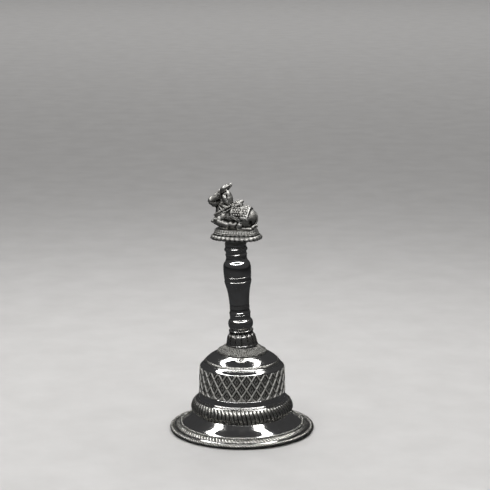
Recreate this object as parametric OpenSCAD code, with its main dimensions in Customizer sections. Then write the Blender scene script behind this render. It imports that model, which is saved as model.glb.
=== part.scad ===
// Prayer hand bell: a flared cup on its rim, a turned baluster handle and a couchant bull finial.
// Millimetres. The origin is the centre of the rim's underside, +Z points up the bell,
// and the bull faces -X. The rope wire, the bead wire, the rosette, the four turned handle
// pieces and the finial are separate pieces, drawn together by one tie rod that ends
// in the eye nut from which the clapper hangs.

/* [Cup] */
// Radius of the mouth, to the outside of the rope wire
mouth_r = 34; // [33:0.5:36]
// Radius of the drum, the upright waist that carries the lattice
drum_r = 20.4; // [20:0.2:21]
// Height of the flat on top of the dome, where the rosette sits
crown_z = 39.8; // [39:0.2:41]
// Thickness of the wire that is twisted into the rope edge
rope_r = 1.05; // [0.8:0.05:1.2]
// Radius of the beads on the wire between the brim and the flare
bead_wire_r = 0.5; // [0.4:0.05:0.6]

/* [Handle] */
// Lean of the handle towards the bull's head, in degrees, as it was fitted by hand
lean = 3.5; // [0:0.5:4]
// Length of the turned handle, from the rosette to the finial's boss
handle_len = 48.6; // [46:0.2:52]
// Largest radius of the foot cap
cap_r = 7.5; // [7:0.1:8]
// Radius of the grip at its swelling
grip_r = 6.5; // [6:0.1:7]
// Radius of the grip at its narrowest
grip_waist_r = 4.65; // [4.4:0.05:5]
// Radius of the tie rod
rod_r = 2; // [1.6:0.1:2.1]

/* [Finial] */
// Length of the lotus plinth, along the bull
plinth_l = 24.2; // [23:0.2:26]
// Width of the lotus plinth, across the bull
plinth_w = 18; // [17:0.2:20]
// Turn of the finial about the handle's axis, in degrees
finial_yaw = -20; // [-30:1:30]
// Height of the bull, from its slab to its horn tips
bull_h = 20.8; // [19:0.1:22]

/* [Clapper] */
// Radius of the clapper's ball
ball_r = 6.2; // [5:0.1:6.5]
// Height of the ball's centre above the rim's underside
ball_z = 9; // [8.6:0.1:11]
// Radius of the clapper's shank
shank_r = 1.1; // [0.8:0.1:1.3]

/* [Hidden] */
$fn = 96;

running = 0.1;          // clearance between parts that hang in each other
rod_gap = 0.1;          // clearance of the tie rod in the handle's bores
crown_bore_r = rod_r + 0.3;
crown_cut = 2.4;        // thickness left between the washer's seat and the dome's flat

// Rim: the cup stands on a flat foot, with the rope wire in a seat round its edge.
foot_in_r = mouth_r - 5;
foot_out_r = mouth_r - 1.9;
rope_c = [mouth_r - rope_r, rope_r + 0.1];
bead_c = [mouth_r - 5.35, 3.7];

// Heights up the cup.
brim_z = 2.2;
flare_z = 3.8;
reed_z = 11.2;
ledge_z = 14.8;
drum_z = 15.2;
lattice_z = 18.6;
shoulder_z = 30.4;
dome_z = 32.7;

// Rosette, a shallow cone that sits on the dome.
rosette_r = 11.85;
rosette_flat_r = 7;
rosette_t = 0.8;
rosette_rise = 2.6;
seat_z = crown_z + rosette_t;

// Handle: distances along its leaning axis from the rosette's top.
cap_len = 7.6;
bead_end = 15.2;
grip_end = handle_len - 5.2;
ring_s = 31;            // the two raised lines round the grip
ring_gap = 2.2;

// Finial: the plinth's boss is on the handle's axis, and the plinth stands a little behind it.
boss_r = 5;
boss_h = 2.8;
plinth_h = 2.7;
slab_h = 1.9;
plinth_shift = 0.5;
plinth_s = handle_len + boss_h;
slab_s = plinth_s + plinth_h;
slab_inset = 1.8;
squareness = 2.5;       // exponent of the plinth's superellipse
bull_unit_h = 20.8;     // height at which the bull's own numbers below are written

// Hanger under the crown.
washer_r = 4.5;
washer_t = 0.8;
washer_s = seat_z - crown_z + crown_cut;
nut_flats = 7;
nut_h = 3;
nut_s = washer_s + washer_t;
eye_r = 2.1;            // centreline radius of the eye
eye_wire_r = 0.8;
eye_s = nut_s + nut_h + 2;
eye_c = [eye_s * sin(lean), seat_z - eye_s * cos(lean)];

// Pivots: the link swings about the eye's lowest wire, and the clapper about the link's.
link_wire_r = 0.6;
link_r = link_wire_r + running + eye_wire_r;
link_drop = 5;
link_pivot_z = eye_c[1] - eye_r;
clapper_pivot_z = link_pivot_z - link_drop;
shank_eye_wire_r = 0.7;
shank_eye_r = link_wire_r + running + shank_eye_wire_r;

// Points on a quadratic curve from a to c, pulled towards b, without its first point.
function curve(a, b, c, n = 8) = [
    for (i = [1:n]) let (t = i / n)
        (1 - t) * (1 - t) * a + 2 * t * (1 - t) * b + t * t * c
];

// Points on a circular arc of radius r about c, from one angle to another.
function arc(c, r, from, to, n = 8) = [
    for (i = [0:n]) let (a = from + (to - from) * i / n)
        c + r * [cos(a), sin(a)]
];

// Outline of an oval with squared ends, l long and w wide.
function oval(l, w, n = 72) = [
    for (i = [0:n - 1]) let (a = 360 * i / n, c = cos(a), s = sin(a))
        [sign(c) * pow(abs(c), 2 / squareness) * l / 2,
         sign(s) * pow(abs(s), 2 / squareness) * w / 2]
];

// Places children on the handle's axis, with their z measured from the rosette's top.
module on_handle_axis() {
    translate([0, 0, seat_z]) rotate([0, -lean, 0]) children();
}

// Places children on the finial, at distance s along the handle's axis.
module on_finial(s) {
    on_handle_axis() rotate([0, 0, finial_yaw]) translate([plinth_shift, 0, s]) children();
}

// A round piece of the handle: its outline is closed along the bore.
module turned(outline) {
    bore = rod_r + rod_gap;
    last = len(outline) - 1;
    rotate_extrude() polygon(concat(
        [[bore, outline[0][1]]], outline, [[bore, outline[last][1]]]
    ));
}

// Keeps what lies above the level plane at height z.
module above(z) {
    difference() {
        children();
        translate([-40, -40, z - 80]) cube(80);
    }
}

module bell_cup() {
    flare = [mouth_r - 5.6, flare_z];
    apron = [mouth_r - 8.4, flare_z + 1.2];
    neck = [drum_r + 1.5, reed_z - 1.9];
    reed = [drum_r + 3.6, reed_z];
    ledge = [drum_r + 1.5, ledge_z];
    dome = [drum_r - 2.6, dome_z];
    cone = [rosette_flat_r + 5.2, crown_z - rosette_rise];
    outside = concat(
        [[foot_in_r, 0], [foot_out_r, 0], [mouth_r - 1.7, brim_z - 0.3], [mouth_r - 2.7, brim_z]],
        [[mouth_r - 5.1, flare_z - 0.4], flare],
        [apron],
        curve(apron, [drum_r + 3.7, 5.9], neck),
        curve(neck, [neck[0] + 1.7, reed_z - 1.7], reed, 3),
        curve(reed, [drum_r + 3.3, 13.2], ledge, 5),
        [[drum_r + 0.1, drum_z], [drum_r + 0.15, drum_z + 0.8], [drum_r, drum_z + 1]],
        [[drum_r, lattice_z], [drum_r - 0.3, shoulder_z]],
        curve([drum_r - 0.3, shoulder_z], [drum_r - 0.6, 31.9], [dome[0] + 0.2, dome_z], 4),
        curve(dome, [drum_r - 4, 35.5], cone),
        [[rosette_flat_r, crown_z], [0, crown_z]]
    );
    mouth = [mouth_r - 5.6, 1];
    neck_in = [drum_r + 0.3, reed_z - 2.6];
    waist = [drum_r, ledge_z - 0.8];
    drum_in = [drum_r - 1.7, drum_z + 2];
    shoulder_in = [drum_r - 2, shoulder_z - 1.4];
    inside = concat(
        [mouth],
        curve(mouth, [mouth_r - 9.6, 2.9], neck_in),
        curve(neck_in, [drum_r + 1.9, reed_z], waist, 4),
        curve(waist, [drum_r - 1, 15.6], drum_in, 3),
        [shoulder_in],
        curve(shoulder_in, [drum_r - 2.3, 31], [drum_r - 3.8, 31.8], 4),
        curve([drum_r - 3.8, 31.8], [drum_r - 6, 34.4], [drum_r - 9.4, 35.8], 5),
        [[6, crown_z - 2.6], [0, crown_z - 2.6]]
    );
    color("silver") difference() {
        rotate_extrude() polygon(concat(outside, [for (i = [len(inside) - 1:-1:0]) inside[i]]));
        rotate_extrude() translate(rope_c) circle(rope_r);
        rotate_extrude() translate(bead_c) circle(bead_wire_r);
        cylinder(r = crown_bore_r, h = crown_z + 1);
        on_handle_axis() translate([0, 0, -washer_s - 3]) cylinder(r = washer_r + 0.3, h = 3);
    }
}

module rim_rope_wire() {
    color("gainsboro") rotate_extrude() translate(rope_c) circle(rope_r);
}

module rim_bead_wire() {
    color("gainsboro") rotate_extrude() translate(bead_c) circle(bead_wire_r);
}

module crown_rosette() {
    edge_z = crown_z - rosette_rise * (rosette_r - rosette_flat_r) / 5.2;
    color("gainsboro") rotate_extrude() polygon([
        [crown_bore_r, crown_z], [rosette_flat_r, crown_z], [rosette_r, edge_z],
        [rosette_r, edge_z + 0.6], [rosette_r - 0.4, edge_z + 0.95],
        [rosette_flat_r + 0.6, seat_z], [crown_bore_r, seat_z],
    ]);
}

module foot_cap() {
    color("silver") above(seat_z) on_handle_axis() turned(concat(
        [[cap_r, -0.7], [cap_r, 0.6], [cap_r - 0.3, 1.1]],
        curve([cap_r - 0.3, 1.1], [cap_r - 0.8, 4.4], [cap_r - 1.8, cap_len - 0.5], 6),
        [[cap_r - 1.8, cap_len]]
    ));
}

module handle_bead() {
    neck_r = 4.9;
    color("silver") on_handle_axis() turned(concat(
        [[neck_r, cap_len], [neck_r, cap_len + 0.9]],
        curve([neck_r, cap_len + 0.9], [neck_r + 1.3, (cap_len + bead_end) / 2 + 0.4],
              [neck_r, bead_end]),
        []
    ));
}

module handle_grip() {
    swell = ring_s + ring_gap + 0.4;
    color("silver") on_handle_axis() turned(concat(
        [[grip_waist_r + 0.35, bead_end], [grip_waist_r + 0.35, bead_end + 0.8],
         [grip_waist_r + 0.05, bead_end + 1.3]],
        curve([grip_waist_r + 0.05, bead_end + 1.3], [grip_waist_r - 0.25, 24.5],
              [grip_r - 0.25, ring_s - 0.7]),
        [[grip_r, ring_s - 0.3], [grip_r, ring_s + 0.3], [grip_r - 0.2, ring_s + 0.6]],
        [[grip_r - 0.2, ring_s + ring_gap - 0.6], [grip_r, ring_s + ring_gap - 0.3],
         [grip_r, ring_s + ring_gap + 0.3]],
        curve([grip_r - 0.1, swell], [grip_r + 0.3, grip_end - 4.8],
              [grip_r - 1.3, grip_end - 1]),
        [[grip_r - 1.6, grip_end - 0.5], [grip_r - 1.6, grip_end]]
    ));
}

module handle_collar() {
    neck_r = 4.85;
    ring_c = [neck_r - 0.4, grip_end + 2.8];
    color("silver") on_handle_axis() turned(concat(
        [[neck_r + 0.3, grip_end], [neck_r + 0.3, grip_end + 0.5], [neck_r, grip_end + 0.9]],
        arc(ring_c, 1, -66, 66),
        [[neck_r + 0.1, grip_end + 4.2], [neck_r + 0.1, handle_len]]
    ));
}

module lotus_plinth() {
    step = 2 * slab_inset - 0.6;
    color("gainsboro") difference() {
        union() {
            on_finial(plinth_s) hull() {
                linear_extrude(0.8) polygon(oval(plinth_l, plinth_w));
                linear_extrude(plinth_h) polygon(oval(plinth_l - step, plinth_w - step));
            }
            on_handle_axis() translate([0, 0, handle_len]) cylinder(r = boss_r, h = boss_h + 0.5);
        }
        on_handle_axis() cylinder(r = rod_r + 0.05, h = plinth_s + 1.8);
    }
}

// Tapered limb of the bull between two balls, each given as [x, y, z] and a radius.
module limb(from, r1, to, r2) {
    hull() {
        translate(from) sphere(r1);
        translate(to) sphere(r2);
    }
}

// The couchant bull, facing -X, with the slab it is cast on. Its z = 0 is the slab's top.
module bull() {
    color("silver") on_finial(slab_s + slab_h) render() {
        translate([0, 0, -slab_h]) linear_extrude(slab_h)
            polygon(oval(plinth_l - 2 * slab_inset, plinth_w - 2 * slab_inset, 48));
        scale(bull_h / bull_unit_h) bull_figure($fn = 16);
    }
}

module bull_figure() {
    // barrel, brisket, rump and saddle
    limb([-5.4, 0, 4.6], 4.9, [5.4, 0, 4.5], 4.8);
    limb([-6.2, 0, 3.8], 4, [-5.4, 0, 7.6], 4.1);
    limb([6.3, 0, 4.3], 4.4, [4.4, 0, 5], 4.5);
    limb([-0.4, 0, 6.8], 4.3, [4, 0, 6.4], 4.3);
    // hump, leaning back over the saddle
    limb([-0.8, 0, 9.2], 2.9, [3.2, 0, 12.7], 0.9);
    // neck, head and jaw
    limb([-5, 0, 7.6], 4, [-4.6, 0, 13.8], 3);
    limb([-5.3, 0, 15], 2.9, [-11, 0, 12], 2.1);
    limb([-5.4, 0, 13], 2.8, [-10.6, 0, 11.4], 1.8);
    for (side = [-1, 1]) {
        // horn, curving up, back and in
        limb([-5, side * 1.4, 17], 1.1, [-4.3, side * 2.2, 19.2], 0.8);
        limb([-4.3, side * 2.2, 19.2], 0.8, [-2.6, side * 1.6, 20.1], 0.7);
        limb([-2.6, side * 1.6, 20.1], 0.7, [-1.6, side * 0.6, 19], 0.5);
        // ear
        limb([-4.8, side * 2.3, 16], 0.9, [-1.6, side * 3.6, 11.9], 0.7);
        // foreleg, folded under the brisket
        limb([-4, side * 3, 5], 2.4, [-8.4, side * 3.5, 2.4], 1.5);
        limb([-8.4, side * 3.8, 1.4], 1.2, [-3.6, side * 4.4, 0.8], 0.9);
        // hind leg
        limb([5.6, side * 2.2, 4.4], 3.6, [2.4, side * 3.8, 2.2], 1.7);
        limb([2.4, side * 4.4, 1.1], 1.1, [8.8, side * 4.6, 0.8], 0.9);
    }
    // tail, over the rump and round to the near side
    limb([9.8, 0.4, 6.4], 0.6, [10.5, 0, 3], 0.6);
    limb([10.5, 0, 3], 0.6, [9.6, -2.6, 0.9], 0.7);
}

module tie_rod() {
    top = plinth_s + 1.6;
    bottom = -(nut_s + nut_h - 0.6);
    color("dimgray") on_handle_axis() translate([0, 0, bottom]) cylinder(r = rod_r, h = top - bottom);
}

module crown_washer() {
    color("silver") on_handle_axis() translate([0, 0, -washer_s - washer_t]) difference() {
        cylinder(r = washer_r, h = washer_t);
        translate([0, 0, -1]) cylinder(r = rod_r + rod_gap, h = washer_t + 2);
    }
}

module eye_nut() {
    color("silver") difference() {
        union() {
            on_handle_axis() translate([0, 0, -nut_s - nut_h])
                cylinder(d = nut_flats / cos(30), h = nut_h, $fn = 6);
            translate([eye_c[0], 0, eye_c[1]]) rotate([90, 0, 0])
                rotate_extrude() translate([eye_r, 0]) circle(eye_wire_r, $fn = 32);
        }
        on_handle_axis() translate([0, 0, -nut_s - nut_h + 0.5]) cylinder(r = rod_r + 0.02, h = nut_h + 1);
    }
}

// Oval link of round wire in the YZ plane: two half rings and two straight sides.
module clapper_link() {
    side = link_drop - link_r;
    color("silver") translate([eye_c[0], 0, link_pivot_z]) {
        rotate([90, 0, 90]) rotate_extrude(angle = 180)
            translate([link_r, 0]) circle(link_wire_r, $fn = 32);
        translate([0, 0, -side]) rotate([-90, 0, 90]) rotate_extrude(angle = 180)
            translate([link_r, 0]) circle(link_wire_r, $fn = 32);
        for (y = [-link_r, link_r])
            translate([0, y, -side]) cylinder(r = link_wire_r, h = side, $fn = 32);
    }
}

module clapper_shank() {
    top = clapper_pivot_z - shank_eye_r;
    bottom = ball_z - ball_r - 0.5;
    color("silver") translate([eye_c[0], 0, 0]) {
        translate([0, 0, clapper_pivot_z]) rotate([90, 0, 0]) rotate_extrude()
            translate([shank_eye_r, 0]) circle(shank_eye_wire_r, $fn = 32);
        translate([0, 0, bottom]) cylinder(r = shank_r, h = top - bottom);
        // peened end that holds the ball
        translate([0, 0, bottom]) cylinder(r1 = shank_r + 0.2, r2 = shank_r + 0.7, h = 0.6);
    }
}

module clapper_ball() {
    color("silver") translate([eye_c[0], 0, ball_z]) difference() {
        sphere(ball_r);
        translate([0, 0, -ball_r - 1]) cylinder(r = shank_r, h = 2 * ball_r + 2);
        translate([0, 0, -ball_r - 1]) cylinder(r = shank_r + 0.7, h = 1.1);
    }
}

bell_cup();
rim_rope_wire();
rim_bead_wire();
crown_rosette();
foot_cap();
handle_bead();
handle_grip();
handle_collar();
lotus_plinth();
bull();
tie_rod();
crown_washer();
eye_nut();
clapper_link();
clapper_shank();
clapper_ball();
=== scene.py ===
"""Silver prayer bell with a bull finial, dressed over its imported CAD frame.

Shapes are worked out in millimetres and turned into metres when a mesh is made. Every ornament is
real relief: rings are grids of angle and profile that are lifted along the profile's normal, and the
bull is built from limbs, remeshed, and then dressed with straps, beads and its embossed cloth.
"""

import math

import bmesh
import bpy
import numpy as np
from mathutils import Matrix, Vector
from mathutils.bvhtree import BVHTree


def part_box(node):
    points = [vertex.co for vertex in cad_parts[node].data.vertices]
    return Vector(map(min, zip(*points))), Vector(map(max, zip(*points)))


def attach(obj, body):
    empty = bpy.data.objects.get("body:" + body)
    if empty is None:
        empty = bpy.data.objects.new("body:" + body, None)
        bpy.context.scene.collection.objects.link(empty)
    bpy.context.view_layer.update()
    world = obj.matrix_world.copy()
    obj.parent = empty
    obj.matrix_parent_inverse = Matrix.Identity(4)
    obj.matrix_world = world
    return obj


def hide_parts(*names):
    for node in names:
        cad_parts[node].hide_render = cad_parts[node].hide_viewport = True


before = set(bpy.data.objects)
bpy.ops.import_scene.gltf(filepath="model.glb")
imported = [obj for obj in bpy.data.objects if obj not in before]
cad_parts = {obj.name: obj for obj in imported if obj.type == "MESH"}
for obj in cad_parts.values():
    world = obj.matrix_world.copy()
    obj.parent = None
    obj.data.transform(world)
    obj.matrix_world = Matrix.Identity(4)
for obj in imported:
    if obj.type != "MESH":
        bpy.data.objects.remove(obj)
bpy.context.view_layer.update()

MM = 0.001
TAU = 2 * math.pi


# ---------------------------------------------------------------- places, from the frame

def box_mm(node):
    lo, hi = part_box(node)
    return lo / MM, hi / MM


ROPE_LO, ROPE_HI = box_mm("rim_rope_wire")
ROD_LO, ROD_HI = box_mm("tie_rod")

MOUTH_R = (ROPE_HI.x - ROPE_LO.x) / 2
CROWN_Z = box_mm("bell_cup")[1].z
SEAT_Z = box_mm("crown_rosette")[1].z
ROD_R = (ROD_HI.y - ROD_LO.y) / 2


def handle_lean():
    """Lean of the handle, from the box of the rod that runs through it."""
    lean = 0.0
    for _ in range(4):
        dx = ROD_HI.x - ROD_LO.x - 2 * ROD_R * math.cos(lean)
        dz = ROD_HI.z - ROD_LO.z - 2 * ROD_R * math.sin(lean)
        lean = math.atan2(dx, dz)
    return lean


LEAN = handle_lean()
# Turns points on the upright axis above the rosette into points on the leaning handle.
ON_HANDLE = Matrix.Translation((0, 0, SEAT_Z)) @ Matrix.Rotation(-LEAN, 4, "Y")

# Places along the handle, measured from its foot.
HANDLE_LEN = 48.6
CAP_LEN = 7.6
BEAD_END = 15.2
GRIP_END = HANDLE_LEN - 5.2
PLINTH_S = HANDLE_LEN + 2.8

PLINTH_H = 2.7
SLAB_H = 1.9
DRUM_R = 20.4


# ---------------------------------------------------------------- mesh tools

def smoothstep(lo, hi, x):
    t = np.clip((x - lo) / (hi - lo), 0, 1)
    return t * t * (3 - 2 * t)


def saw(x):
    """Distance of x from the nearest whole number, 0 to 0.5."""
    return np.abs(x - np.round(x))


def bezier(a, b, c, n):
    """Points on a quadratic curve from a to c, pulled towards b, without its first point."""
    t = np.linspace(0, 1, n + 1)[1:, None]
    a, b, c = map(np.array, (a, b, c))
    return ((1 - t) ** 2 * a + 2 * t * (1 - t) * b + t * t * c).tolist()


def arc(centre, r, start, end, n):
    """Points on a circular arc about centre, between two angles in degrees."""
    t = np.radians(np.linspace(start, end, n + 1))
    return np.stack([centre[0] + r * np.cos(t), centre[1] + r * np.sin(t)], 1).tolist()


def resample(points, step):
    """The same line with evenly spaced points about step apart, its corners kept."""
    out = [np.array(points[0], float)]
    for a, b in zip(points, points[1:]):
        a, b = np.array(a, float), np.array(b, float)
        n = max(1, int(round(np.linalg.norm(b - a) / step)))
        out += [a + (b - a) * i / n for i in range(1, n + 1)]
    return np.array(out)


def object_from(name, verts, faces, material, relief, place=None):
    """A smooth mesh object from points in millimetres, with a relief value at each point."""
    verts = np.asarray(verts, float)
    if place is not None:
        m = np.array(place)
        verts = verts @ m[:3, :3].T + m[:3, 3]
    mesh = bpy.data.meshes.new(name)
    mesh.from_pydata((verts * MM).tolist(), [], faces)
    mesh.validate()
    attribute = mesh.attributes.new("relief", "FLOAT", "POINT")
    attribute.data.foreach_set("value", np.asarray(relief, np.float32))
    bm = bmesh.new()
    bm.from_mesh(mesh)
    bmesh.ops.recalc_face_normals(bm, faces=bm.faces)
    bm.to_mesh(mesh)
    bm.free()
    mesh.polygons.foreach_set("use_smooth", [True] * len(mesh.polygons))
    mesh.materials.append(material)
    obj = bpy.data.objects.new(name, mesh)
    bpy.context.collection.objects.link(obj)
    return obj


def grid_faces(rows, cols, wrap_rows):
    """Quads of a grid that always closes round its columns."""
    i = np.arange(rows if wrap_rows else rows - 1)[:, None]
    j = np.arange(cols)[None, :]
    i2, j2 = (i + 1) % rows, (j + 1) % cols
    quads = np.stack([i * cols + j, i * cols + j2, i2 * cols + j2, i2 * cols + j], -1)
    return quads.reshape(-1, 4).tolist()


def revolve(name, outline, cols, material, place=None, relief=0.6):
    """A turned piece from a closed (r, z) outline."""
    outline = np.array(outline, float)
    angle = np.arange(cols) * TAU / cols
    r, z = outline[:, :1], outline[:, 1:]
    verts = np.stack([r * np.cos(angle), r * np.sin(angle), z + 0 * angle], -1).reshape(-1, 3)
    values = np.full(len(verts), relief)
    return object_from(name, verts, grid_faces(len(outline), cols, True), material, values, place)


def line_normals(line):
    """Left-hand normals of an open (r, z) line: outward when it runs up the outside."""
    d = np.gradient(line, axis=0)
    d /= np.linalg.norm(d, axis=1, keepdims=True)
    return np.stack([d[:, 1], -d[:, 0]], 1)


def chased_ring(name, line, lift, cols, material, depth=0.5, bore=None, place=None):
    """A ring of relief. line runs up its face; lift(angle, s) gives height and relief value.

    s runs from 0 to 1 along the line. The ring is closed depth behind its face, or along a
    bore of the given radius.
    """
    normal = line_normals(line)
    s = np.concatenate([[0], np.cumsum(np.linalg.norm(np.diff(line, axis=0), axis=1))])
    s = (s / s[-1])[:, None]
    angle = (np.arange(cols) * TAU / cols)[None, :]
    height, value = lift(angle + 0 * s, s + 0 * angle)
    r = line[:, :1] + normal[:, :1] * height
    z = line[:, 1:] + normal[:, 1:] * height
    if bore is None:
        back = (line - normal * depth)[[-1, len(line) // 2, 0]]
    else:
        back = np.array([[bore, line[-1, 1]], [bore, line[0, 1]]])
    r = np.concatenate([r, np.repeat(back[:, :1], cols, 1)])
    z = np.concatenate([z, np.repeat(back[:, 1:], cols, 1)])
    value = np.concatenate([value, np.zeros((len(back), cols))])
    verts = np.stack([r * np.cos(angle), r * np.sin(angle), z], -1).reshape(-1, 3)
    faces = grid_faces(len(line) + len(back), cols, True)
    return object_from(name, verts, faces, material, value.reshape(-1), place)


def tube_mesh(path, radius, sides, closed=False):
    """Points and faces of a tube along a path that is closed, or whose ends get fans.

    radius is one number or one for each point of the path.
    """
    path = np.array(path, float)
    n = len(path)
    radius = np.broadcast_to(np.asarray(radius, float), (n,))
    if closed:
        tangent = np.roll(path, -1, 0) - np.roll(path, 1, 0)
    else:
        tangent = np.gradient(path, axis=0)
    tangent /= np.linalg.norm(tangent, axis=1, keepdims=True)
    spread = np.abs(tangent).mean(0)
    side = np.eye(3)[int(np.argmin(spread))]
    verts = []
    for p, t, r in zip(path, tangent, radius):
        side = side - t * np.dot(side, t)
        side /= np.linalg.norm(side)
        up = np.cross(t, side)
        for k in range(sides):
            a = TAU * k / sides
            verts.append(p + r * (math.cos(a) * side + math.sin(a) * up))
    faces = grid_faces(n, sides, closed)
    if not closed:
        for row, centre in ((0, path[0]), (n - 1, path[-1])):
            verts.append(centre)
            hub = len(verts) - 1
            faces += [[row * sides + k, row * sides + (k + 1) % sides, hub] for k in range(sides)]
    return np.array(verts), faces


def wire_loop(name, path, radius):
    """A loop of bent steel wire along a closed path."""
    verts, faces = tube_mesh(path, radius, 16, True)
    return object_from(name, verts, faces, STEEL, np.full(len(verts), 0.6))


# ---------------------------------------------------------------- materials

class Surface:
    """A procedural material and short ways to add its nodes."""

    def __init__(self, name):
        self.material = bpy.data.materials.new(name)
        self.material.use_nodes = True
        self.tree = self.material.node_tree
        self.shader = self.tree.nodes["Principled BSDF"]

    def add(self, kind, out=0, settings=None, **inputs):
        """Adds a node, sets or links its inputs by name or number, and returns one output."""
        made = self.tree.nodes.new("ShaderNode" + kind)
        for key, value in (settings or {}).items():
            setattr(made, key, value)
        for key, value in inputs.items():
            socket = made.inputs[int(key[1:])] if key[1:].isdigit() else made.inputs[key]
            self.plug(socket, value)
        return made.outputs[out]

    def plug(self, socket, value):
        if isinstance(value, bpy.types.NodeSocket):
            self.tree.links.new(value, socket)
        else:
            socket.default_value = value

    def math(self, operation, a, b=0.0):
        return self.add("Math", settings={"operation": operation}, i0=a, i1=b)

    def place(self):
        return self.add("TexCoord", out=3)

    def noise(self, scale, detail=3.0, vector=None):
        return self.add("TexNoise", Vector=vector or self.place(), Scale=scale, Detail=detail,
                        Roughness=0.55)

    def span(self, value, lo, hi, to_lo=0.0, to_hi=1.0):
        return self.add("MapRange", i0=value, i1=lo, i2=hi, i3=to_lo, i4=to_hi)

    def blend(self, factor, a, b):
        return self.add("Mix", out=2, settings={"data_type": "RGBA"}, i0=factor, i6=a, i7=b)

    def turned_lines(self, lean=False):
        """Coordinates that vary fast across a turned piece and slowly round it."""
        where = self.place()
        if lean:
            where = self.add("Mapping", Vector=where, Rotation=(0, LEAN, 0))
        parts = self.add("SeparateXYZ", Vector=where).node
        x, y, z = parts.outputs
        radius = self.math("SQRT", self.math("ADD", self.math("MULTIPLY", x, x),
                                             self.math("MULTIPLY", y, y)))
        return self.add("CombineXYZ", X=self.math("MULTIPLY", radius, 14.0),
                        Y=self.math("MULTIPLY", z, 14.0), Z=self.math("MULTIPLY", x, 0.6))


def silver(name, bright, dark, rough, worn, low=0.1, high=0.75, lines=None, grain=2400.0,
           tarnish=0.25, mottle=0.12, dents=0.12):
    """Silver that is bright on its relief and dark in its recesses: oxide, and on the bull also painted
    shade in its broad hollows.

    bright and dark are colours, rough and worn the roughness of clean and of tarnished metal,
    low and high the relief values between which the dark colour gives way to metal. mottle is how
    far small specks shift that limit, and dents the strength of the bump. The bump has the
    lines of a turned "cup" or "handle", or else a fine grain.
    """
    s = Surface(name)
    relief = s.add("Attribute", out=2, settings={"attribute_name": "relief"})
    cloud = s.noise(260.0, 4.0)
    speck = s.noise(1500.0, 3.0)
    clean = s.span(s.math("ADD", relief, s.span(speck, 0.3, 0.7, -mottle, mottle)), low, high)
    veil = s.span(cloud, 0.42, 0.72, 0.0, tarnish)
    metal = s.blend(veil, (*bright, 1), (bright[0] * 0.72, bright[1] * 0.68, bright[2] * 0.6, 1))
    s.plug(s.shader.inputs["Base Color"], s.blend(clean, (*dark, 1), metal))
    s.shader.inputs["Metallic"].default_value = 1.0
    base = s.span(cloud, 0.35, 0.75, rough, rough + 0.4 * (worn - rough))
    rough_mix = s.add("Mix", settings={"data_type": "FLOAT"}, i0=clean, i2=worn, i3=base)
    s.plug(s.shader.inputs["Roughness"], rough_mix)
    if lines:
        height = s.noise(260.0, 2.0, vector=s.turned_lines(lines == "handle"))
    else:
        height = s.noise(grain, 2.0)
    normal = s.add("Bump", Strength=dents, Distance=0.00006, Height=height)
    s.plug(s.shader.inputs["Normal"], normal)
    return s.material


BRIGHT = (0.88, 0.875, 0.86)
OXIDE = (0.035, 0.033, 0.030)

POLISHED = silver("polished silver", BRIGHT, OXIDE, 0.06, 0.3, lines="cup", dents=0.05)
POLISHED_HANDLE = silver("polished silver, handle", BRIGHT, OXIDE, 0.1, 0.3, lines="handle",
                         low=0.2, high=0.7, tarnish=0.5, mottle=0.3, dents=0.16)
CAP = silver("petalled silver", (0.85, 0.84, 0.81), OXIDE, 0.16, 0.45, low=0.3, high=0.8, grain=1500.0,
             tarnish=0.5, mottle=0.45, dents=0.6)
CHASED = silver("frosted chasing", (0.7, 0.69, 0.65), OXIDE, 0.22, 0.5, low=0.25, high=0.85,
                grain=2600.0, mottle=0.3, dents=0.4)
# A lit copy of the frosted silver: its brighter colour and its recess colour, lifted far above the
# oxide, are painted light on the upright lattice in place of a frontal lamp.
LIT_LATTICE = silver("frosted lattice, painted light", (0.9, 0.89, 0.85), (0.12, 0.118, 0.11), 0.6, 0.75, low=0.1,
                 high=0.8, grain=2600.0, mottle=0.2, dents=0.4)
# A shaded copy of the frosted silver: its low colour is painted shade on the upward-facing rosette.
SHADED_ROSETTE = silver("frosted rosette, painted shade", (0.34, 0.335, 0.315), OXIDE, 0.45, 0.7, low=0.35, high=0.95,
                 grain=2600.0, mottle=0.5, dents=0.5)
CAST = silver("cast silver", (0.64, 0.63, 0.6), (0.03, 0.029, 0.026), 0.4, 0.7, low=0.32, high=0.86,
              grain=2200.0, mottle=0.22, dents=0.45)
STEEL = silver("hanger steel", (0.55, 0.54, 0.52), (0.2, 0.18, 0.15), 0.3, 0.5, grain=3000.0, dents=0.3)


def floor_material():
    s = Surface("pale floor")
    grain = s.noise(40.0, 5.0)
    s.plug(s.shader.inputs["Base Color"],
           s.blend(s.span(grain, 0.3, 0.7), (0.54, 0.53, 0.52, 1), (0.59, 0.58, 0.57, 1)))
    s.shader.inputs["Roughness"].default_value = 0.85
    s.plug(s.shader.inputs["Normal"],
           s.add("Bump", Strength=0.1, Distance=0.0002, Height=s.noise(900.0, 3.0)))
    return s.material


def card_material():
    s = Surface("black card")
    s.plug(s.shader.inputs["Base Color"],
           s.blend(s.noise(30.0), (0.009, 0.0095, 0.011, 1), (0.014, 0.0145, 0.016, 1)))
    s.shader.inputs["Roughness"].default_value = 0.9
    return s.material


# ---------------------------------------------------------------- studio

CAMERA_AT = (0.0, -0.790, 0.250)
CAMERA_AIM = (0.0014, 0.0, 0.0885)
CAMERA_LENS = 127.6
FLOOR_HALF = 4.0
CARD_LIFT = 0.0004
# The octagon of light: its middle, half its size along x and y, and the width of its panels.
RING_X, RING_Y, RING_Z = -0.04, -0.08, 0.42
RING_RX, RING_RY, RING_WIDTH = 0.28, 0.32, 0.08
RING_WATTS_PER_METRE = 1.9
MIDDLE_WATTS, FAR_WATTS = 9.0, 55.0


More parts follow.
